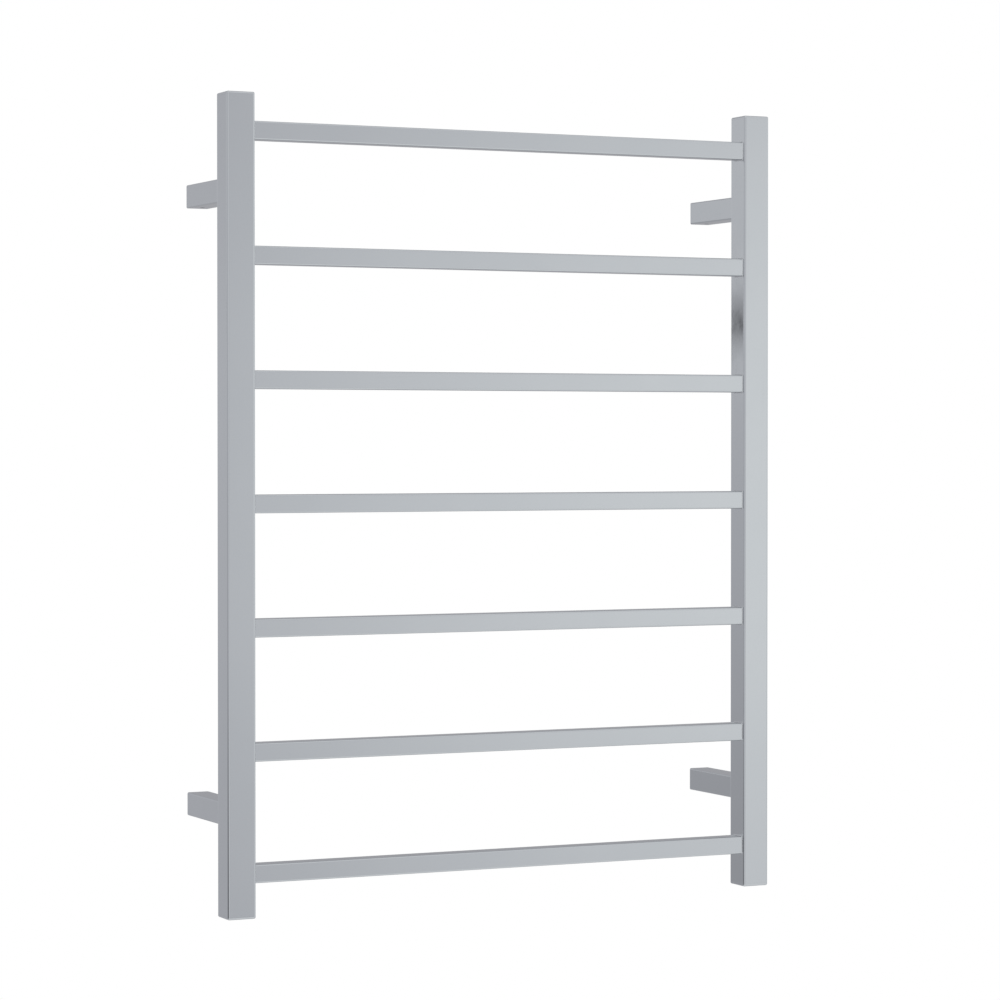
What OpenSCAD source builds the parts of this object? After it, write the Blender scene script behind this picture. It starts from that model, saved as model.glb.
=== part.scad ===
// Electric towel warmer rack: a ladder of seven square rungs between two square
// uprights, standing off the wall on four square posts, warmed by a cable that
// runs through the tubes. The rungs sit a little behind the fronts of the uprights.
//
// Millimetres. +Z is up, the front faces -Y and the wall is the plane y = 0. The
// origin is the centre of the four wall fixings.

/* [Frame] */
// Width over both uprights
rack_w = 600; // [450:1:900]
// Height of the uprights, caps included
rack_h = 800; // [790:1:900]
// Clear space between the wall and the backs of the uprights
wall_gap = 93; // [70:1:140]
// Top of the uprights down to the centres of the upper posts
upper_post_drop = 94; // [80:1:110]
// Bottom of the uprights up to the centres of the lower posts
lower_post_rise = 101; // [90:1:110]
// Top of the uprights down to the centre of the top rung
top_rung_drop = 36.5; // [30:0.5:45]
// Spacing of the upper six rungs
rung_pitch = 120.5; // [110:0.1:122]
// Bottom of the uprights up to the centre of the bottom rung
bottom_rung_rise = 43; // [38:0.5:50]
// Fronts of the uprights back to the fronts of the rungs
rung_setback = 3; // [3:0.5:6]

/* [Tubes] */
// Side of the square uprights
upright_s = 29; // [28:0.5:36]
// Wall of the uprights
upright_wall = 1.5; // [1.2:0.1:1.6]
// Outer corner radius of the uprights
upright_r = 2; // [1.9:0.1:3]
// Side of the square rungs
rung_s = 18; // [16:0.5:22]
// Wall of the rungs
rung_wall = 1.2; // [1:0.1:1.4]
// Outer corner radius of the rungs
rung_r = 1.5; // [1.5:0.1:2]
// Holes between the rungs and the uprights for the heating cable
wire_hole_d = 10; // [8:0.5:12]

/* [End caps] */
// Thickness of the cap plates
cap_t = 3; // [2.5:0.1:5]
// Rounding of the caps' outer edges
cap_edge_r = 1.8; // [1:0.1:1.8]
// Width and depth of the hairline seam between the caps and the tubes
cap_seam = 0.2; // [0.1:0.05:0.3]
// Depth of the skirts inside the tubes
skirt_h = 8; // [5:0.5:12]
// Wall of the skirts
skirt_wall = 1.2; // [1:0.1:2]
// Slip clearance of the skirts, each side
skirt_gap = 0.1; // [0.05:0.05:0.3]

/* [Wall posts] */
// Side of the square posts
post_s = 23; // [22:0.5:26]
// Wall of the posts
post_wall = 2.5; // [2:0.1:3]
// Outer corner radius of the posts
post_r = 1.5; // [1:0.1:2]
// Plate that closes each post against the upright
post_plate = 3; // [2.5:0.1:5]
// Gap left between each post and the wall
post_gap = 0.5; // [0.3:0.1:1]
// Length of the wall bosses inside the posts
boss_len = 30; // [26:1:40]
// Clearance of a boss in its post, each side
boss_gap = 0.2; // [0.1:0.05:0.4]

/* [Fixings] */
// Diameter of the wall screws
wall_screw_d = 5; // [4:0.5:5.5]
// Bore for the heads of the wall screws
wall_head_d = 9.5; // [9:0.1:10]
// Depth of boss that each wall screw clamps
boss_grip = 10; // [8:0.5:14]
// Depth of the countersink
sink_h = 2.5; // [2:0.1:4]
// Diameter of the grub screws
grub_d = 5; // [4:0.5:5]
// Wall to the centres of the grub screws
grub_y = 15; // [12:1:18]
// How far a grub screw sits below the post's skin
grub_recess = 0.4; // [0.2:0.1:0.6]
// Depth of the pocket that each grub screw seats in
pocket_depth = 2; // [1:0.1:2]
// Diameter of the bolts between posts and uprights
bolt_d = 6; // [5:0.5:6]
// Clearance hole for those bolts
bolt_hole_d = 6.6; // [6.4:0.1:7]
// Side of the square nut plates
nut_plate_s = 20; // [16:1:22]
// Thickness of the nut plates
nut_plate_t = 4; // [3:0.5:5]

/* [Heating] */
// Diameter of the heating cable
cable_d = 5; // [4:0.5:6]
// Radius of the cable's bends
bend_r = 12; // [12:0.5:14]
// Straight cable between the first and last bends and their ends
cable_tail = 14; // [14:1:20]
// Bore of the cable grommet, for the supply lead
inlet_d = 7; // [6:0.5:8]

/* [Hidden] */
$fn = 48;
rung_count = 7;

STEEL = [0.74, 0.76, 0.78];
ZINC = [0.62, 0.62, 0.60];
ALLOY = [0.66, 0.67, 0.68];
BRASS = [0.78, 0.66, 0.38];
SILICONE = [0.72, 0.30, 0.22];
SLEEVE = [0.10, 0.10, 0.11];
CERAMIC = [0.90, 0.88, 0.82];
RUBBER = [0.13, 0.13, 0.13];

LEFT = -1;
RIGHT = 1;
UPPER = 1;
LOWER = -1;

// Heights
fixing_pitch = rack_h - upper_post_drop - lower_post_rise;
top_z = fixing_pitch / 2 + upper_post_drop;
bottom_z = top_z - rack_h;
function post_z(level) = level * fixing_pitch / 2;
function rung_z(i) =
    i < rung_count ? top_z - top_rung_drop - (i - 1) * rung_pitch : bottom_z + bottom_rung_rise;

// Sides and depths
post_x = (rack_w - upright_s) / 2;
rung_len = rack_w - 2 * upright_s;
front_y = -(wall_gap + upright_s);
upright_y = front_y + upright_s / 2;
rung_y = front_y + rung_setback + rung_s / 2;
upright_back_y = -wall_gap;
inner_back_y = upright_back_y - upright_wall;
upright_bore = upright_s - 2 * upright_wall;

// Posts, bosses and their screws
post_len = wall_gap - post_gap;
boss_s = post_s - 2 * (post_wall + boss_gap);
pocket_floor = boss_s / 2 - pocket_depth;
grub_len = post_s / 2 - grub_recess - pocket_floor;
grub_chamfer = 0.8;
grub_key_d = 2.9;
grub_key_depth = 1.8;
bolt_head_d = 10;
bolt_head_h = 6;
bolt_key_d = 5.8;
bolt_key_depth = 3;
bolt_tip = 1.5;
bolt_shank = post_plate + upright_wall + nut_plate_t + bolt_tip;

// Cable ends, cut-out and splices
cable_straight = post_x - bend_r;
cable_start_z = rung_z(rung_count) + bend_r + cable_tail;
cable_end_z = rung_z(1) - bend_r - cable_tail;
core_d = 2.4;
sleeve_d = 8;
grip_len = 12;
cutout_size = [9, 5, 18];
cutout_z = cable_start_z + grip_len;
cutout_top_z = cutout_z + cutout_size.z;
cap_crimp_d = 11;
cap_crimp_h = 22;
lead_core_d = 3;
lead_core_dx = 3.4;

// Earth connection on the inside of the right upright's back
earth_z = bottom_z + 25;
earth_d = 4;
earth_len = 8;
lug_t = 0.8;
lug_d = 8;
lug_tail = 7;
lug_barrel_d = 4;
lug_barrel_h = 6;
earth_nut_h = 3.2;
earth_nut_d = 8.08;

// Grommet in the right upright's lower cap
grommet_flange_d = 15;
grommet_flange_h = 1;
grommet_neck_d = 12;
grommet_lip_h = 1.5;

eps = 1;

RUNGS = [1:rung_count];
CORNERS = [
    ["upper_left", LEFT, UPPER],
    ["upper_right", RIGHT, UPPER],
    ["lower_left", LEFT, LOWER],
    ["lower_right", RIGHT, LOWER]
];

// ---- Shared shapes ----

// Square with round corners
module rounded_square(s, r) {
    square([s - 2 * r, s], center = true);
    square([s, s - 2 * r], center = true);
    for (x = [-1, 1], y = [-1, 1])
        translate([x * (s / 2 - r), y * (s / 2 - r)]) circle(r);
}

// Square tube standing on the XY plane
module square_tube(s, wall, r, length) {
    linear_extrude(length)
        difference() {
            rounded_square(s, r);
            rounded_square(s - 2 * wall, max(r - wall, 0.3));
        }
}

// Section of a slab's rim: r wide, h high, rounded by e at the outer top
module rim_section(r, h, e) {
    square([r - e, h]);
    square([r, h - e]);
    translate([r - e, h - e])
        intersection() {
            circle(e);
            square(e);
        }
}

// Square slab with round corners and a rounded top edge
module rounded_slab(s, h, r, e) {
    flat = s - 2 * r;
    translate([-flat / 2, -flat / 2, 0]) cube([flat, flat, h]);
    for (a = [0:90:270]) rotate(a) {
        translate([flat / 2, flat / 2, 0]) rotate([90, 0, 0])
            linear_extrude(flat) rim_section(r, h, e);
        translate([flat / 2, flat / 2, 0]) rotate_extrude(angle = 90) rim_section(r, h, e);
    }
}

// Moves a shape that stands on +Z to a post's axis, so that it points away from
// the wall; its +Y side becomes the top
module at_post(side, level) {
    translate([side * post_x, 0, post_z(level)]) rotate([90, 0, 0]) children();
}

// ---- Frame ----

module upright(side) {
    color(STEEL)
    difference() {
        translate([side * post_x, upright_y, bottom_z + cap_t])
            square_tube(upright_s, upright_wall, upright_r, rack_h - 2 * cap_t);
        for (i = RUNGS)
            translate([side * post_x, rung_y, rung_z(i)])
                rotate([0, -side * 90, 0]) cylinder(d = wire_hole_d, h = upright_s);
        for (level = [UPPER, LOWER])
            at_post(side, level) cylinder(d = bolt_hole_d, h = wall_gap + upright_s / 2);
    }
}

module rung(i) {
    color(STEEL)
    translate([-rung_len / 2, rung_y, rung_z(i)]) rotate([0, 90, 0])
        square_tube(rung_s, rung_wall, rung_r, rung_len);
}

module cap_body() {
    translate([0, 0, cap_seam])
        rounded_slab(upright_s, cap_t - cap_seam, upright_r, cap_edge_r);
    linear_extrude(cap_seam) rounded_square(upright_s - 2 * cap_seam, upright_r - cap_seam);
    translate([0, 0, -skirt_h])
        square_tube(upright_bore - 2 * skirt_gap, skirt_wall, upright_r - upright_wall, skirt_h);
}

module top_cap(side) {
    color(STEEL) translate([side * post_x, upright_y, top_z - cap_t]) cap_body();
}

module bottom_cap(side) {
    color(STEEL)
    translate([side * post_x, upright_y, bottom_z + cap_t]) mirror([0, 0, 1])
        difference() {
            cap_body();
            if (side == RIGHT) {
                translate([0, 0, -eps]) cylinder(d = grommet_neck_d, h = cap_t + 2 * eps);
                translate([0, 0, cap_t - grommet_flange_h])
                    cylinder(d = grommet_flange_d, h = grommet_flange_h + eps);
            }
        }
}

// ---- Wall posts ----

module post(side, level) {
    color(STEEL)
    at_post(side, level)
        difference() {
            translate([0, 0, post_gap]) linear_extrude(post_len) rounded_square(post_s, post_r);
            linear_extrude(wall_gap - post_plate)
                square(post_s - 2 * post_wall, center = true);
            cylinder(d = bolt_hole_d, h = wall_gap + eps);
            translate([0, -post_s / 2 - eps, grub_y]) rotate([-90, 0, 0])
                cylinder(d = grub_d, h = post_wall + 2 * eps);
        }
}

module wall_boss(side, level) {
    color(ALLOY)
    at_post(side, level)
        difference() {
            linear_extrude(boss_len) square(boss_s, center = true);
            translate([0, 0, -eps]) cylinder(d = wall_screw_d, h = boss_len);
            translate([0, 0, boss_grip]) cylinder(d1 = wall_screw_d, d2 = wall_head_d, h = sink_h);
            translate([0, 0, boss_grip + sink_h]) cylinder(d = wall_head_d, h = boss_len);
            translate([0, -boss_s / 2 - eps, grub_y]) rotate([-90, 0, 0])
                cylinder(d = grub_d, h = pocket_depth + eps);
        }
}

module grub_screw(side, level) {
    color(ZINC)
    at_post(side, level)
        translate([0, -pocket_floor, grub_y]) rotate([90, 0, 0])
            difference() {
                union() {
                    cylinder(d1 = grub_d - 2 * grub_chamfer, d2 = grub_d, h = grub_chamfer);
                    translate([0, 0, grub_chamfer]) cylinder(d = grub_d, h = grub_len - grub_chamfer);
                }
                translate([0, 0, grub_len - grub_key_depth])
                    cylinder(d = grub_key_d, h = grub_key_depth + eps, $fn = 6);
            }
}

module post_bolt(side, level) {
    color(ZINC)
    at_post(side, level)
        translate([0, 0, wall_gap - post_plate - bolt_head_h])
            difference() {
                union() {
                    cylinder(d = bolt_head_d, h = bolt_head_h);
                    translate([0, 0, bolt_head_h]) cylinder(d = bolt_d, h = bolt_shank);
                }
                translate([0, 0, -eps])
                    cylinder(d = bolt_key_d, h = bolt_key_depth + eps, $fn = 6);
            }
}

module nut_plate(side, level) {
    color(ZINC)
    at_post(side, level)
        translate([0, 0, wall_gap + upright_wall])
            difference() {
                linear_extrude(nut_plate_t) square(nut_plate_s, center = true);
                translate([0, 0, -eps]) cylinder(d = bolt_d, h = nut_plate_t + 2 * eps);
            }
}

// ---- Heating cable and its connections ----

// The cable runs along every rung and climbs inside one upright to the next
function riser_side(i) = i % 2 == 1 ? RIGHT : LEFT;

// Quarter bend at a rung's end; turn is 1 upward and -1 downward
module cable_bend(i, side, turn) {
    translate([side * cable_straight, rung_y, rung_z(i) + turn * bend_r])
        mirror([side < 0 ? 1 : 0, 0, 0])
        mirror([0, 0, turn > 0 ? 1 : 0])
        rotate([90, 0, 0])
        rotate_extrude(angle = 90) translate([bend_r, 0]) circle(d = cable_d);
}

module cable_riser(side, z0, z1) {
    translate([side * post_x, rung_y, z0]) cylinder(d = cable_d, h = z1 - z0);
}

module heating_cable() {
    color(SILICONE) {
        for (i = RUNGS)
            translate([-cable_straight, rung_y, rung_z(i)]) rotate([0, 90, 0])
                cylinder(d = cable_d, h = 2 * cable_straight);
        for (i = [1:rung_count - 1]) {
            cable_bend(i, riser_side(i), -1);
            cable_riser(riser_side(i), rung_z(i + 1) + bend_r, rung_z(i) - bend_r);
            cable_bend(i + 1, riser_side(i), 1);
        }
        cable_bend(1, LEFT, -1);
        cable_riser(LEFT, cable_end_z, rung_z(1) - bend_r);
        cable_bend(rung_count, RIGHT, 1);
        cable_riser(RIGHT, rung_z(rung_count) + bend_r, cable_start_z);
    }
}

module cable_end_seal() {
    color(SLEEVE)
    translate([-post_x, rung_y, cable_end_z - grip_len])
        difference() {
            union() {
                cylinder(d = sleeve_d, h = 2 * grip_len);
                sphere(d = sleeve_d);
            }
            translate([0, 0, grip_len]) cylinder(d = cable_d, h = grip_len + eps);
        }
}

// Crimped sleeve between the cable and the cut-out's lower lead
module cable_splice() {
    color(SLEEVE)
    translate([post_x, rung_y, cable_start_z - grip_len])
        difference() {
            cylinder(d = sleeve_d, h = 2 * grip_len);
            translate([0, 0, -eps]) cylinder(d = cable_d, h = grip_len + eps);
            translate([0, 0, grip_len]) cylinder(d = core_d, h = grip_len + eps);
        }
}

// Flat over-temperature cut-out with a lead at each end
module thermal_cutout() {
    color(CERAMIC)
    translate([post_x, rung_y, 0]) {
        translate([-cutout_size.x / 2, -cutout_size.y / 2, cutout_z]) cube(cutout_size);
        translate([0, 0, cable_start_z]) cylinder(d = core_d, h = grip_len);
        translate([0, 0, cutout_top_z]) cylinder(d = core_d, h = grip_len);
    }
}

// Closed-end crimp cap: one bore holds the cut-out's lead, and the other is
// free for the supply lead
module supply_splice() {
    color(SLEEVE)
    translate([post_x, rung_y, cutout_top_z + eps])
        difference() {
            translate([lead_core_dx / 2, 0, 0]) cylinder(d = cap_crimp_d, h = cap_crimp_h);
            translate([0, 0, -eps]) cylinder(d = core_d, h = grip_len);
            translate([lead_core_dx, 0, -eps]) cylinder(d = lead_core_d, h = grip_len);
        }
}

// ---- Earth connection ----

// Moves a shape that stands on +Z to the inside of the right upright's back
module at_earth(lift) {
    translate([post_x, inner_back_y - lift, earth_z]) rotate([90, 0, 0]) children();
}

module earth_stud() {
    color(ZINC) at_earth(0) cylinder(d = earth_d, h = earth_len);
}

module earth_lug() {
    color(BRASS)
    at_earth(0) {
        difference() {
            union() {
                cylinder(d = lug_d, h = lug_t);
                translate([-lug_barrel_d / 2, 0, 0]) cube([lug_barrel_d, lug_tail, lug_t]);
            }
            translate([0, 0, -eps]) cylinder(d = earth_d, h = lug_t + 2 * eps);
        }
        translate([0, lug_tail, lug_barrel_d / 2]) rotate([-90, 0, 0])
            difference() {
                cylinder(d = lug_barrel_d, h = lug_barrel_h);
                translate([0, 0, eps]) cylinder(d = core_d, h = lug_barrel_h);
            }
    }
}

module earth_nut() {
    color(ZINC)
    at_earth(lug_t)
        difference() {
            cylinder(d = earth_nut_d, h = earth_nut_h, $fn = 6);
            translate([0, 0, -eps]) cylinder(d = earth_d, h = earth_nut_h + 2 * eps);
        }
}

// Flush rubber grommet where the supply lead comes in
module cable_grommet() {
    color(RUBBER)
    translate([post_x, upright_y, bottom_z])
        difference() {
            union() {
                cylinder(d = grommet_flange_d, h = grommet_flange_h);
                translate([0, 0, grommet_flange_h])
                    cylinder(d = grommet_neck_d, h = cap_t - grommet_flange_h);
                translate([0, 0, cap_t]) cylinder(d = grommet_flange_d, h = grommet_lip_h);
            }
            translate([0, 0, -eps])
                cylinder(d = inlet_d, h = cap_t + grommet_lip_h + 2 * eps);
        }
}

// ---- The assembly ----

upright(LEFT);  // left_upright
upright(RIGHT);  // right_upright
for (i = RUNGS)
    rung(i);

top_cap(LEFT);  // left_top_cap
top_cap(RIGHT);  // right_top_cap
bottom_cap(LEFT);  // left_bottom_cap
bottom_cap(RIGHT);  // right_bottom_cap

for (c = CORNERS) {
    post(c[1], c[2]);
    wall_boss(c[1], c[2]);
    grub_screw(c[1], c[2]);
    post_bolt(c[1], c[2]);
    nut_plate(c[1], c[2]);
}

heating_cable();
cable_end_seal();
cable_splice();
thermal_cutout();
supply_splice();

earth_stud();
earth_lug();
earth_nut();
cable_grommet();
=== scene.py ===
import math

import bpy
import bmesh
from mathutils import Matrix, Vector


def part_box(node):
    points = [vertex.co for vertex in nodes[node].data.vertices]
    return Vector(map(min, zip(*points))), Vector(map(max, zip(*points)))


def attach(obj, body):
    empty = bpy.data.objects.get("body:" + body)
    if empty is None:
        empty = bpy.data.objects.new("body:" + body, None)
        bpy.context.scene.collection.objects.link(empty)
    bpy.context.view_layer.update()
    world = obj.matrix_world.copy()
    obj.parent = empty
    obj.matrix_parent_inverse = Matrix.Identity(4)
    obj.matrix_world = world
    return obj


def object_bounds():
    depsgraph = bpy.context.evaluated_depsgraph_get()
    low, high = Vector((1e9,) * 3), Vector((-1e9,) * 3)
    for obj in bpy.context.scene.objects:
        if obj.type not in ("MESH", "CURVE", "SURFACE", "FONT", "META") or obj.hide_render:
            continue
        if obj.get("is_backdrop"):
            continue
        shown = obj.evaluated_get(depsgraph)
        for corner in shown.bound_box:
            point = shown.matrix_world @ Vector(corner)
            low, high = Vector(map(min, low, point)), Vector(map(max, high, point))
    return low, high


# ---------------------------------------------------------------- frame

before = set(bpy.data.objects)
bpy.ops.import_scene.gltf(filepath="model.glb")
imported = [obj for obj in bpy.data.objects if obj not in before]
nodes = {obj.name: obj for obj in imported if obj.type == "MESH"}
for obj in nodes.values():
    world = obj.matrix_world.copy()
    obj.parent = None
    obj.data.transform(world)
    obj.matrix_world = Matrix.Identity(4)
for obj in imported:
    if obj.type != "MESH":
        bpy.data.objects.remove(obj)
cad_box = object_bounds()
low, high = cad_box

LENS = 119.79
SENSOR = 36.0
# Camera from the middle of the front plane, in metres, and where it looks, in degrees
CAMERA_FROM_FRONT = Vector((-1.4411, -3.0063, 0.0625))
CAMERA_YAW = 25.466
CAMERA_PITCH = -1.006

FLOOR_DROP = 1.80
FLOOR_RADIUS = 3.0
FLOOR_SIDES = 128

# Outer corner radius of the rungs, and the weld fillet around each end: its leg and how deep it
# starts inside the metal
RUNG_RADIUS = 0.0015
WELD_LEG = 0.0008
WELD_ROOT = 0.0003
# Flats in a quarter turn of the fillet's own section, and in one round a rung's corner
SECTION_STEPS = 5
CORNER_STEPS = 6

CORNERS = ("upper_left", "upper_right", "lower_left", "lower_right")
UPRIGHTS = ("left_upright", "right_upright")
CAPS = ("left_top_cap", "right_top_cap", "left_bottom_cap", "right_bottom_cap")
RUNGS = [f"rung_{i}" for i in range(1, 8)]

# Width of one turned ring on the bosses
RING_PITCH = 0.0005

bpy.context.scene.view_settings.view_transform = "Standard"


# ---------------------------------------------------------------- camera

def make_camera():
    front = Vector(((low.x + high.x) / 2, low.y, (low.z + high.z) / 2))
    data = bpy.data.cameras.new("camera")
    data.lens = LENS
    data.sensor_width = SENSOR
    camera = bpy.data.objects.new("camera", data)
    camera.location = front + CAMERA_FROM_FRONT
    camera.rotation_euler = (math.radians(90 + CAMERA_PITCH), 0, math.radians(-CAMERA_YAW))
    bpy.context.collection.objects.link(camera)
    bpy.context.scene.camera = camera


# ---------------------------------------------------------------- node helpers

class Tree:
    """Short calls for a node tree."""

    def __init__(self, tree):
        self.tree = tree
        self.tree.nodes.clear()

    def add(self, kind, **settings):
        node = self.tree.nodes.new(kind)
        for name, value in settings.items():
            setattr(node, name, value)
        return node

    def link(self, source, target):
        self.tree.links.new(source, target)

    def feed(self, value, socket):
        if isinstance(value, bpy.types.NodeSocket):
            self.link(value, socket)
        else:
            socket.default_value = value

    def math(self, operation, a, b=0.0, c=0.0):
        node = self.add("ShaderNodeMath", operation=operation)
        for value, socket in zip((a, b, c), node.inputs):
            self.feed(value, socket)
        return node.outputs[0]

    def vector(self, operation, a, b=(0.0, 0.0, 0.0)):
        node = self.add("ShaderNodeVectorMath", operation=operation)
        self.feed(a, node.inputs[0])
        self.feed(b, node.inputs[1])
        gives_number = operation in ("DOT_PRODUCT", "LENGTH")
        return node.outputs["Value" if gives_number else "Vector"]

    def ramp(self, value, low_in, high_in, low_out, high_out, smooth=False):
        """low_out where value is low_in, high_out where it is high_in, and no further."""
        node = self.add("ShaderNodeMapRange", clamp=True)
        node.interpolation_type = "SMOOTHSTEP" if smooth else "LINEAR"
        for name, x in (("Value", value), ("From Min", low_in), ("From Max", high_in),
                        ("To Min", low_out), ("To Max", high_out)):
            self.feed(x, node.inputs[name])
        return node.outputs["Result"]

    def fade(self, value, edge):
        """0 before edge's first number and 1 past its second, with a smooth change between."""
        return self.ramp(value, *edge, 0.0, 1.0, smooth=True)

    def blend(self, weight, a, b):
        """Number a where weight is 0 and b where it is 1."""
        node = self.add("ShaderNodeMix", data_type="FLOAT")
        factor_in, number_a, number_b, number_out = 0, 2, 3, 0
        self.feed(weight, node.inputs[factor_in])
        self.feed(a, node.inputs[number_a])
        self.feed(b, node.inputs[number_b])
        return node.outputs[number_out]

    def mix(self, factor, a, b):
        """Colour a where factor is 0 and b where it is 1."""
        node = self.add("ShaderNodeMix", data_type="RGBA")
        factor_in, colour_a, colour_b, colour_out = 0, 6, 7, 2
        self.feed(factor, node.inputs[factor_in])
        self.feed(a, node.inputs[colour_a])
        self.feed(b, node.inputs[colour_b])
        return node.outputs[colour_out]

    def noise(self, vector, scale, detail=3.0, roughness=0.5):
        node = self.add("ShaderNodeTexNoise")
        self.feed(vector, node.inputs["Vector"])
        self.feed(scale, node.inputs["Scale"])
        self.feed(detail, node.inputs["Detail"])
        self.feed(roughness, node.inputs["Roughness"])
        return node.outputs["Fac"]

    def bump(self, height, strength, distance, normal=None):
        node = self.add("ShaderNodeBump")
        self.feed(height, node.inputs["Height"])
        self.feed(strength, node.inputs["Strength"])
        self.feed(distance, node.inputs["Distance"])
        if normal is not None:
            self.link(normal, node.inputs["Normal"])
        return node.outputs["Normal"]


# ---------------------------------------------------------------- studio light

# The room is one brightness for each direction, because the metal mirrors all of it. Names in _Z
# are heights, and names in _EDGE say where one part of the room fades into the next. Both are
# pairs of a ray's x, y or z, from -1 to 1. Two brightnesses belong to the two heights beside them.
FRONT_DIM = 0.31
# Above and below this height the light in front falls a little
FRONT_LEVEL = -0.01
FRONT_FALL_Z = (0.05, 0.10)
FRONT_FALL = 0.96
CAMERA_SIDE = 0.76
CAMERA_EDGE = (0.26, 0.06)

LEFT_Z = (-0.14, -0.065)
LEFT_LOW = (0.16, 0.50)
LEFT_RISE_Z = (-0.065, 0.05)
LEFT_RISE = 0.12
LEFT_EDGE = (-0.58, -0.82)

RIGHT_Z = (-0.20, 0.20)
RIGHT_WALL = (0.74, 0.96)
RIGHT_EDGE = (0.62, 0.85)

BEHIND_NEAR_Z = (-0.14, 0.02)
BEHIND_NEAR = (0.52, 0.60)
BEHIND_NEAR_FALL_Z = (0.03, 0.09)
BEHIND_NEAR_FALL = -0.04
BEHIND_FAR_Z = (-0.14, 0.085)
BEHIND_FAR = (0.42, 0.70)
BEHIND_FAR_EDGE = (-0.36, -0.48)
BEHIND_RIGHT = 0.40
BEHIND_RIGHT_EDGE = (-0.15, 0.15)
BEHIND_WALL_EDGE = (0.60, 0.85)
BEHIND_EDGE = (0.0, 0.60)

# A bar behind on the left, which has faded out BAR_WIDTH above and below BAR_HEIGHT
BAR_HEIGHT = 0.0366
BAR_WIDTH = 0.0070
BAR_LIGHT = 0.0
BAR_SURROUND = 0.06
BAR_START_EDGE = (-0.44, -0.47)
BAR_END_EDGE = (-0.58, -0.54)

# Ceiling and ground: brightness in front and behind, the y over which it changes from the one to
# the other, and the heights where each begins
CEILING = (0.90, 0.50)
GROUND = (0.95, 0.48)
FRONT_TO_BACK = (-0.55, 0.35)
CEILING_EDGE = (0.18, 0.45)
GROUND_EDGE = (-0.18, -0.40)

# Colour of the light where the room is dim and where it is bright, and how bright those are
DIM_TINT = (0.985, 0.992, 1.05, 1.0)
BRIGHT_TINT = (0.98, 1.0, 1.015, 1.0)
TINT_RANGE = (0.55, 0.95)

# Azimuth and elevation in degrees, width in radians and brightness
FRONT_BOX = (33.2, -1.0, 0.227, 0.66)
BACK_BOX = (181.0, 1.0, 0.13, 0.42)
SUN_STRENGTH = 1.7
SUN_ANGLE = 50


def direction(azimuth, elevation):
    """Unit vector; azimuth 0 is in front of the rack (-Y) and 90 is to its right (+X)."""
    a, e = math.radians(azimuth), math.radians(elevation)
    return (math.sin(a) * math.cos(e), -math.cos(a) * math.cos(e), math.sin(e))


def soft_box(t, ray, light, azimuth, elevation, width, power):
    """light with a round soft-edged lamp added to it."""
    lobe = t.vector("DOT_PRODUCT", ray, direction(azimuth, elevation))
    lobe = t.math("DIVIDE", t.math("SUBTRACT", lobe, 1.0), width * width)
    return t.math("MULTIPLY_ADD", t.math("EXPONENT", lobe), power, light)


def right_wall(t, z):
    """Bright, and more so higher up."""
    return t.ramp(z, *RIGHT_Z, *RIGHT_WALL)


def light_in_front(t, ray, x, z):
    """Dim with one soft box, bright round the camera and on the right, dark low on the far left."""
    light = soft_box(t, ray, FRONT_DIM, *FRONT_BOX)
    slope = t.math("ABSOLUTE", t.math("SUBTRACT", z, FRONT_LEVEL))
    light = t.math("MULTIPLY", light, t.ramp(slope, *FRONT_FALL_Z, 1.0, FRONT_FALL))
    light = t.blend(t.fade(x, CAMERA_EDGE), light, CAMERA_SIDE)
    left = t.ramp(z, *LEFT_Z, *LEFT_LOW)
    left = t.math("ADD", left, t.ramp(z, *LEFT_RISE_Z, 0.0, LEFT_RISE))
    light = t.blend(t.fade(x, LEFT_EDGE), light, left)
    return t.blend(t.fade(x, RIGHT_EDGE), light, right_wall(t, z))


def light_behind(t, ray, x, z):
    """Light above the horizon and darker below it, more so towards the far left."""
    near = t.ramp(z, *BEHIND_NEAR_Z, *BEHIND_NEAR)
    near = t.math("ADD", near, t.ramp(z, *BEHIND_NEAR_FALL_Z, 0.0, BEHIND_NEAR_FALL))
    far = t.ramp(z, *BEHIND_FAR_Z, *BEHIND_FAR)
    light = t.blend(t.ramp(x, *BEHIND_FAR_EDGE, 0.0, 1.0), near, far)
    light = t.blend(t.fade(x, BEHIND_RIGHT_EDGE), light, BEHIND_RIGHT)
    light = t.blend(t.fade(x, BEHIND_WALL_EDGE), light, right_wall(t, z))
    return soft_box(t, ray, light, *BACK_BOX)


def add_bar(t, light, x, z):
    """light with a dark bar in a pale surround, which the right upright mirrors as a soft patch."""
    off_bar = t.math("ABSOLUTE", t.math("SUBTRACT", z, BAR_HEIGHT))
    bar = t.fade(off_bar, (BAR_WIDTH, BAR_WIDTH / 4))
    surround = t.ramp(off_bar, BAR_WIDTH * 2, BAR_WIDTH * 4, BAR_SURROUND, 0.0, smooth=True)
    span = t.math("MULTIPLY", t.fade(x, BAR_START_EDGE), t.fade(x, BAR_END_EDGE))
    light = t.math("MULTIPLY_ADD", surround, span, light)
    return t.blend(t.math("MULTIPLY", bar, span), light, BAR_LIGHT)


def room_light(t, ray):
    """Brightness of the studio along a ray, as a socket."""
    parts = t.add("ShaderNodeSeparateXYZ")
    t.link(ray, parts.inputs[0])
    x, y, z = parts.outputs
    behind = add_bar(t, light_behind(t, ray, x, z), x, z)
    light = t.blend(t.fade(y, BEHIND_EDGE), light_in_front(t, ray, x, z), behind)
    ceiling = t.ramp(y, *FRONT_TO_BACK, *CEILING, smooth=True)
    ground = t.ramp(y, *FRONT_TO_BACK, *GROUND, smooth=True)
    light = t.blend(t.fade(z, CEILING_EDGE), light, ceiling)
    return t.blend(t.fade(z, GROUND_EDGE), light, ground)


def room_tint(t, light):
    """Cooler where the studio is dim."""
    return t.mix(t.ramp(light, *TINT_RANGE, 0.0, 1.0), DIM_TINT, BRIGHT_TINT)


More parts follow.
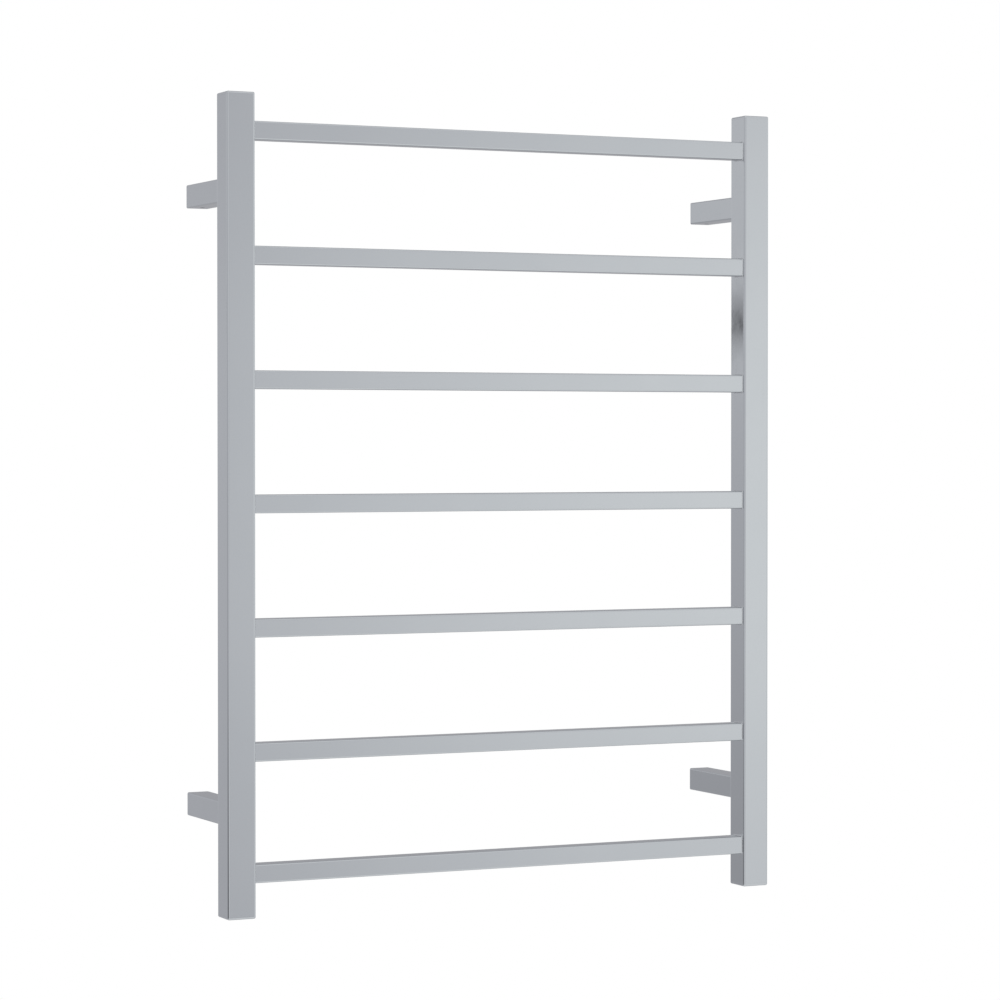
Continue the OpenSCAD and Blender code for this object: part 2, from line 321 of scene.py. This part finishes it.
def make_world():
    """White paper behind the rack for the camera, and the studio for everything that mirrors it."""
    world = bpy.data.worlds.new("studio")
    bpy.context.scene.world = world
    world.use_nodes = True
    t = Tree(world.node_tree)
    ray = t.add("ShaderNodeTexCoord").outputs["Generated"]
    ray = t.vector("NORMALIZE", ray)
    room = t.add("ShaderNodeBackground")
    light = room_light(t, ray)
    t.link(room_tint(t, light), room.inputs["Color"])
    t.link(light, room.inputs["Strength"])
    paper = t.add("ShaderNodeBackground")
    paper.inputs["Color"].default_value = (1.0, 1.0, 1.0, 1.0)
    paper.inputs["Strength"].default_value = 1.0
    seen = t.add("ShaderNodeLightPath").outputs["Is Camera Ray"]
    both = t.add("ShaderNodeMixShader")
    t.link(seen, both.inputs[0])
    t.link(room.outputs[0], both.inputs[1])
    t.link(paper.outputs[0], both.inputs[2])
    output = t.add("ShaderNodeOutputWorld")
    t.link(both.outputs[0], output.inputs["Surface"])


def make_sun():
    """Very soft overhead light for the floor and the dull parts; the metal doesn't mirror it."""
    data = bpy.data.lights.new("overhead", "SUN")
    data.energy = SUN_STRENGTH
    data.angle = math.radians(SUN_ANGLE)
    sun = bpy.data.objects.new("overhead", data)
    sun.visible_glossy = False
    bpy.context.collection.objects.link(sun)


def make_floor():
    """Pale round floor well below the rack."""
    mesh = bpy.data.meshes.new("floor")
    build = bmesh.new()
    bmesh.ops.create_circle(build, cap_ends=True, segments=FLOOR_SIDES, radius=FLOOR_RADIUS)
    build.to_mesh(mesh)
    build.free()
    floor = bpy.data.objects.new("floor", mesh)
    floor.location = (0, 0, low.z - FLOOR_DROP)
    floor.visible_glossy = False
    bpy.context.collection.objects.link(floor)
    material, t, shader, place = new_material("pale_floor", Roughness=0.9)
    mottle = t.noise(place, scale=3.0, detail=4.0, roughness=0.6)
    t.link(t.mix(mottle, FLOOR_DARK, FLOOR_PALE), shader.inputs["Base Color"])
    mesh.materials.append(material)
    floor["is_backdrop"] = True


# ---------------------------------------------------------------- materials

# Darkest and palest colour of each finish, or only the palest, which a shade makes darker
FLOOR_DARK, FLOOR_PALE = (0.86, 0.86, 0.86, 1.0), (0.90, 0.90, 0.90, 1.0)
STEEL_DARK, STEEL_PALE = (0.585, 0.607, 0.622, 1.0), (0.615, 0.632, 0.645, 1.0)
WELD_DARK, WELD_PALE = (0.66, 0.675, 0.685, 1.0), (0.72, 0.73, 0.735, 1.0)
ALLOY_DARK, ALLOY_PALE = (0.50, 0.51, 0.52, 1.0), (0.60, 0.61, 0.62, 1.0)
SET_SCREW = (0.42, 0.43, 0.45)
ZINC = (0.55, 0.55, 0.53)
BRASS = (0.72, 0.56, 0.28)
RED_SILICONE = (0.42, 0.09, 0.05)
BLACK_SLEEVE = (0.02, 0.02, 0.022)
CREAM_CERAMIC = (0.75, 0.72, 0.64)
BLACK_RUBBER = (0.022, 0.022, 0.022)
# Factors for the darkest places of the other metals and of the moulded parts
METAL_SHADE = 0.86
MOULDED_SHADE = 0.8

# Polishing lines and hair scratches of the tubes: how many to a metre across the grain and along
# it, and how much roughness they add to that of the smudges
LINE_ACROSS, LINE_ALONG, LINE_ROUGHNESS = 1400.0, 18.0, 0.02
HAIR_ACROSS, HAIR_ALONG, HAIR_ROUGHNESS = 420.0, 6.0, 0.05
SMUDGE_ROUGHNESS = (0.055, 0.10)
# Cross scratches of the welds, to a metre along x, y and z
WELD_SCRATCHES = (5200.0, 900.0, 900.0)


def stretched(t, place, grain, across, along):
    """place scaled for noise that runs along one axis; grain is that axis, 0 to 2."""
    scale = [across] * 3
    scale[grain] = along
    return t.vector("MULTIPLY", place, tuple(scale))


def new_material(name, **constants):
    """A material, its tree and its shader, with constant values set on the shader."""
    material = bpy.data.materials.new(name)
    material.use_nodes = True
    t = Tree(material.node_tree)
    shader = t.add("ShaderNodeBsdfPrincipled")
    t.link(shader.outputs[0], t.add("ShaderNodeOutputMaterial").inputs["Surface"])
    for socket, value in constants.items():
        shader.inputs[socket.replace("_", " ")].default_value = value
    place = t.add("ShaderNodeTexCoord").outputs["Object"]
    return material, t, shader, place


def polished_steel(name, grain):
    """Mirror-polished tube. grain is the polishing direction's axis, 0 to 2."""
    material, t, shader, place = new_material(name, Metallic=1.0)
    line_place = stretched(t, place, grain, LINE_ACROSS, LINE_ALONG)
    lines = t.noise(line_place, scale=1.0, detail=4.0, roughness=0.6)
    hair_place = stretched(t, place, grain, HAIR_ACROSS, HAIR_ALONG)
    hairs = t.noise(hair_place, scale=1.0, detail=2.0, roughness=0.4)
    scratches = t.ramp(hairs, 0.66, 0.74, 0.0, 1.0)
    cloud = t.noise(place, scale=11.0, detail=3.0, roughness=0.55)
    smudge = t.noise(place, scale=48.0, detail=5.0, roughness=0.6)
    ripple = t.noise(place, scale=6.0, detail=1.0, roughness=0.4)
    t.link(t.mix(cloud, STEEL_DARK, STEEL_PALE), shader.inputs["Base Color"])
    rough = t.ramp(smudge, 0.35, 0.75, *SMUDGE_ROUGHNESS)
    rough = t.math("MULTIPLY_ADD", lines, LINE_ROUGHNESS, rough)
    rough = t.math("MULTIPLY_ADD", scratches, HAIR_ROUGHNESS, rough)
    t.link(rough, shader.inputs["Roughness"])
    wave = t.bump(ripple, strength=0.12, distance=0.002)
    grooves = t.bump(lines, strength=0.12, distance=0.00002, normal=wave)
    t.link(grooves, shader.inputs["Normal"])
    return material


def ground_weld():
    """Weld dressed by hand with a fine abrasive: satin, with short cross scratches."""
    material, t, shader, place = new_material("ground_weld", Metallic=1.0)
    beads = t.noise(place, scale=900.0, detail=2.0, roughness=0.5)
    scratches = t.noise(t.vector("MULTIPLY", place, WELD_SCRATCHES), 1.0, detail=3.0, roughness=0.6)
    t.link(t.mix(beads, WELD_DARK, WELD_PALE), shader.inputs["Base Color"])
    t.link(t.ramp(scratches, 0.3, 0.7, 0.28, 0.42), shader.inputs["Roughness"])
    grooves = t.bump(scratches, strength=0.3, distance=0.00002)
    t.link(t.bump(beads, strength=0.35, distance=0.00006, normal=grooves), shader.inputs["Normal"])
    return material


def faced_alloy(name, centre):
    """Alloy block whose wall face was turned: fine rings round centre, in the wall's plane."""
    material, t, shader, place = new_material(name, Metallic=1.0)
    spoke = t.vector("SUBTRACT", place, (centre.x, 0.0, centre.z))
    spoke = t.vector("MULTIPLY", spoke, (1.0, 0.0, 1.0))
    turns = t.math("MULTIPLY", t.vector("LENGTH", spoke), 2 * math.pi / RING_PITCH)
    rings = t.math("SINE", turns)
    mottle = t.noise(place, scale=900.0, detail=5.0, roughness=0.6)
    t.link(t.mix(mottle, ALLOY_DARK, ALLOY_PALE), shader.inputs["Base Color"])
    t.link(t.ramp(mottle, 0.3, 0.7, 0.26, 0.38), shader.inputs["Roughness"])
    skin = t.bump(mottle, strength=0.2, distance=0.00004)
    t.link(t.bump(rings, strength=0.5, distance=0.00003, normal=skin), shader.inputs["Normal"])
    return material


def plain_metal(name, colour, roughness, grain_scale):
    """Turned, stamped or plated metal with fine mottling."""
    material, t, shader, place = new_material(name, Metallic=1.0)
    mottle = t.noise(place, grain_scale, detail=5.0, roughness=0.6)
    dark = tuple(c * METAL_SHADE for c in colour) + (1.0,)
    t.link(t.mix(mottle, dark, tuple(colour) + (1.0,)), shader.inputs["Base Color"])
    t.link(t.ramp(mottle, 0.3, 0.7, roughness, roughness + 0.12), shader.inputs["Roughness"])
    t.link(t.bump(mottle, strength=0.25, distance=0.00005), shader.inputs["Normal"])
    return material


def moulded(name, colour, roughness, grain_scale, depth):
    """Rubber, silicone, heat-shrink or moulded plastic with a fine skin texture."""
    material, t, shader, place = new_material(name)
    skin = t.noise(place, grain_scale, detail=4.0, roughness=0.6)
    tone = t.noise(place, grain_scale / 12, detail=2.0, roughness=0.5)
    dark = tuple(c * MOULDED_SHADE for c in colour) + (1.0,)
    t.link(t.mix(tone, dark, tuple(colour) + (1.0,)), shader.inputs["Base Color"])
    t.link(t.ramp(skin, 0.3, 0.7, roughness - 0.08, roughness + 0.08), shader.inputs["Roughness"])
    t.link(t.bump(skin, strength=0.4, distance=depth), shader.inputs["Normal"])
    return material


def dress(names, material):
    for name in names:
        nodes[name].data.materials.clear()
        nodes[name].data.materials.append(material)


def dress_all():
    steel_x = polished_steel("polished_steel_along_x", 0)
    steel_y = polished_steel("polished_steel_along_y", 1)
    steel_z = polished_steel("polished_steel_along_z", 2)
    dress(RUNGS, steel_x)
    dress([f"{c}_post" for c in CORNERS], steel_y)
    dress(UPRIGHTS + CAPS, steel_z)
    for corner in CORNERS:
        boss = f"{corner}_wall_boss"
        boss_low, boss_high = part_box(boss)
        dress([boss], faced_alloy(f"{corner}_boss_alloy", (boss_low + boss_high) / 2))
    set_screw = plain_metal("set_screw_steel", SET_SCREW, roughness=0.28, grain_scale=1500)
    plated = plain_metal("zinc_plate", ZINC, roughness=0.32, grain_scale=1200)
    brass = plain_metal("lug_brass", BRASS, roughness=0.3, grain_scale=1400)
    jacket = moulded("silicone_jacket", RED_SILICONE, 0.5, 1600, depth=0.00004)
    sleeve = moulded("heat_shrink", BLACK_SLEEVE, 0.55, 1800, depth=0.00005)
    case = moulded("ceramic_case", CREAM_CERAMIC, 0.42, 1500, depth=0.00003)
    rubber = moulded("grommet_rubber", BLACK_RUBBER, 0.6, 1400, depth=0.00005)
    dress([f"{c}_grub_screw" for c in CORNERS], set_screw)
    dress([f"{c}_{p}" for c in CORNERS for p in ("post_bolt", "nut_plate")], plated)
    dress(["earth_stud", "earth_nut"], plated)
    dress(["earth_lug"], brass)
    dress(["heating_cable"], jacket)
    dress(["cable_end_seal", "cable_splice", "supply_splice"], sleeve)
    dress(["thermal_cutout"], case)
    dress(["cable_grommet"], rubber)


# ---------------------------------------------------------------- weld fillets

def rounded_square_path(half, radius, steps):
    """Corner points of a rounded square, as (centre of corner, outward unit vector) pairs."""
    path = []
    for corner in range(4):
        start = corner * math.pi / 2
        middle = start + math.pi / 4
        centre = (math.copysign(half - radius, math.cos(middle)),
                  math.copysign(half - radius, math.sin(middle)))
        for i in range(steps + 1):
            angle = start + i / steps * math.pi / 2
            path.append((centre, (math.cos(angle), math.sin(angle))))
    return path


def fillet_section(leg, root, steps):
    """Section of a weld: (distance off the rung, distance off the upright), concave outside."""
    section = [(-root, -root), (leg, -root)]
    for i in range(steps + 1):
        angle = i / steps * math.pi / 2
        section.append((leg * (1 - math.sin(angle)), leg * (1 - math.cos(angle))))
    section.append((-root, leg))
    return section


def make_weld(rung, side, material):
    """The ground weld around one end of a rung; side is -1 for the left upright."""
    rung_low, rung_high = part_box(rung)
    middle = (rung_low + rung_high) / 2
    half = (rung_high.z - rung_low.z) / 2
    face_x = rung_low.x if side < 0 else rung_high.x
    build = bmesh.new()
    rings = []
    for off, along in fillet_section(WELD_LEG, WELD_ROOT, SECTION_STEPS):
        ring = []
        for centre, out in rounded_square_path(half, RUNG_RADIUS, CORNER_STEPS):
            reach = RUNG_RADIUS + off
            ring.append(build.verts.new((face_x - side * along,
                                         middle.y + centre[0] + out[0] * reach,
                                         middle.z + centre[1] + out[1] * reach)))
        rings.append(ring)
    for a, b in zip(rings, rings[1:] + rings[:1]):
        for i in range(len(a)):
            j = (i + 1) % len(a)
            build.faces.new((a[i], a[j], b[j], b[i])).smooth = True
    bmesh.ops.recalc_face_normals(build, faces=build.faces)
    name = f"weld_{'left' if side < 0 else 'right'}_{rung}"
    mesh = bpy.data.meshes.new(name)
    build.to_mesh(mesh)
    build.free()
    mesh.materials.append(material)
    weld = bpy.data.objects.new(name, mesh)
    bpy.context.collection.objects.link(weld)
    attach(weld, "root")


def make_welds():
    material = ground_weld()
    for rung in RUNGS:
        for side in (-1, 1):
            make_weld(rung, side, material)


# ---------------------------------------------------------------- build

make_camera()
make_world()
make_sun()
make_floor()
dress_all()
make_welds()

low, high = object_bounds()
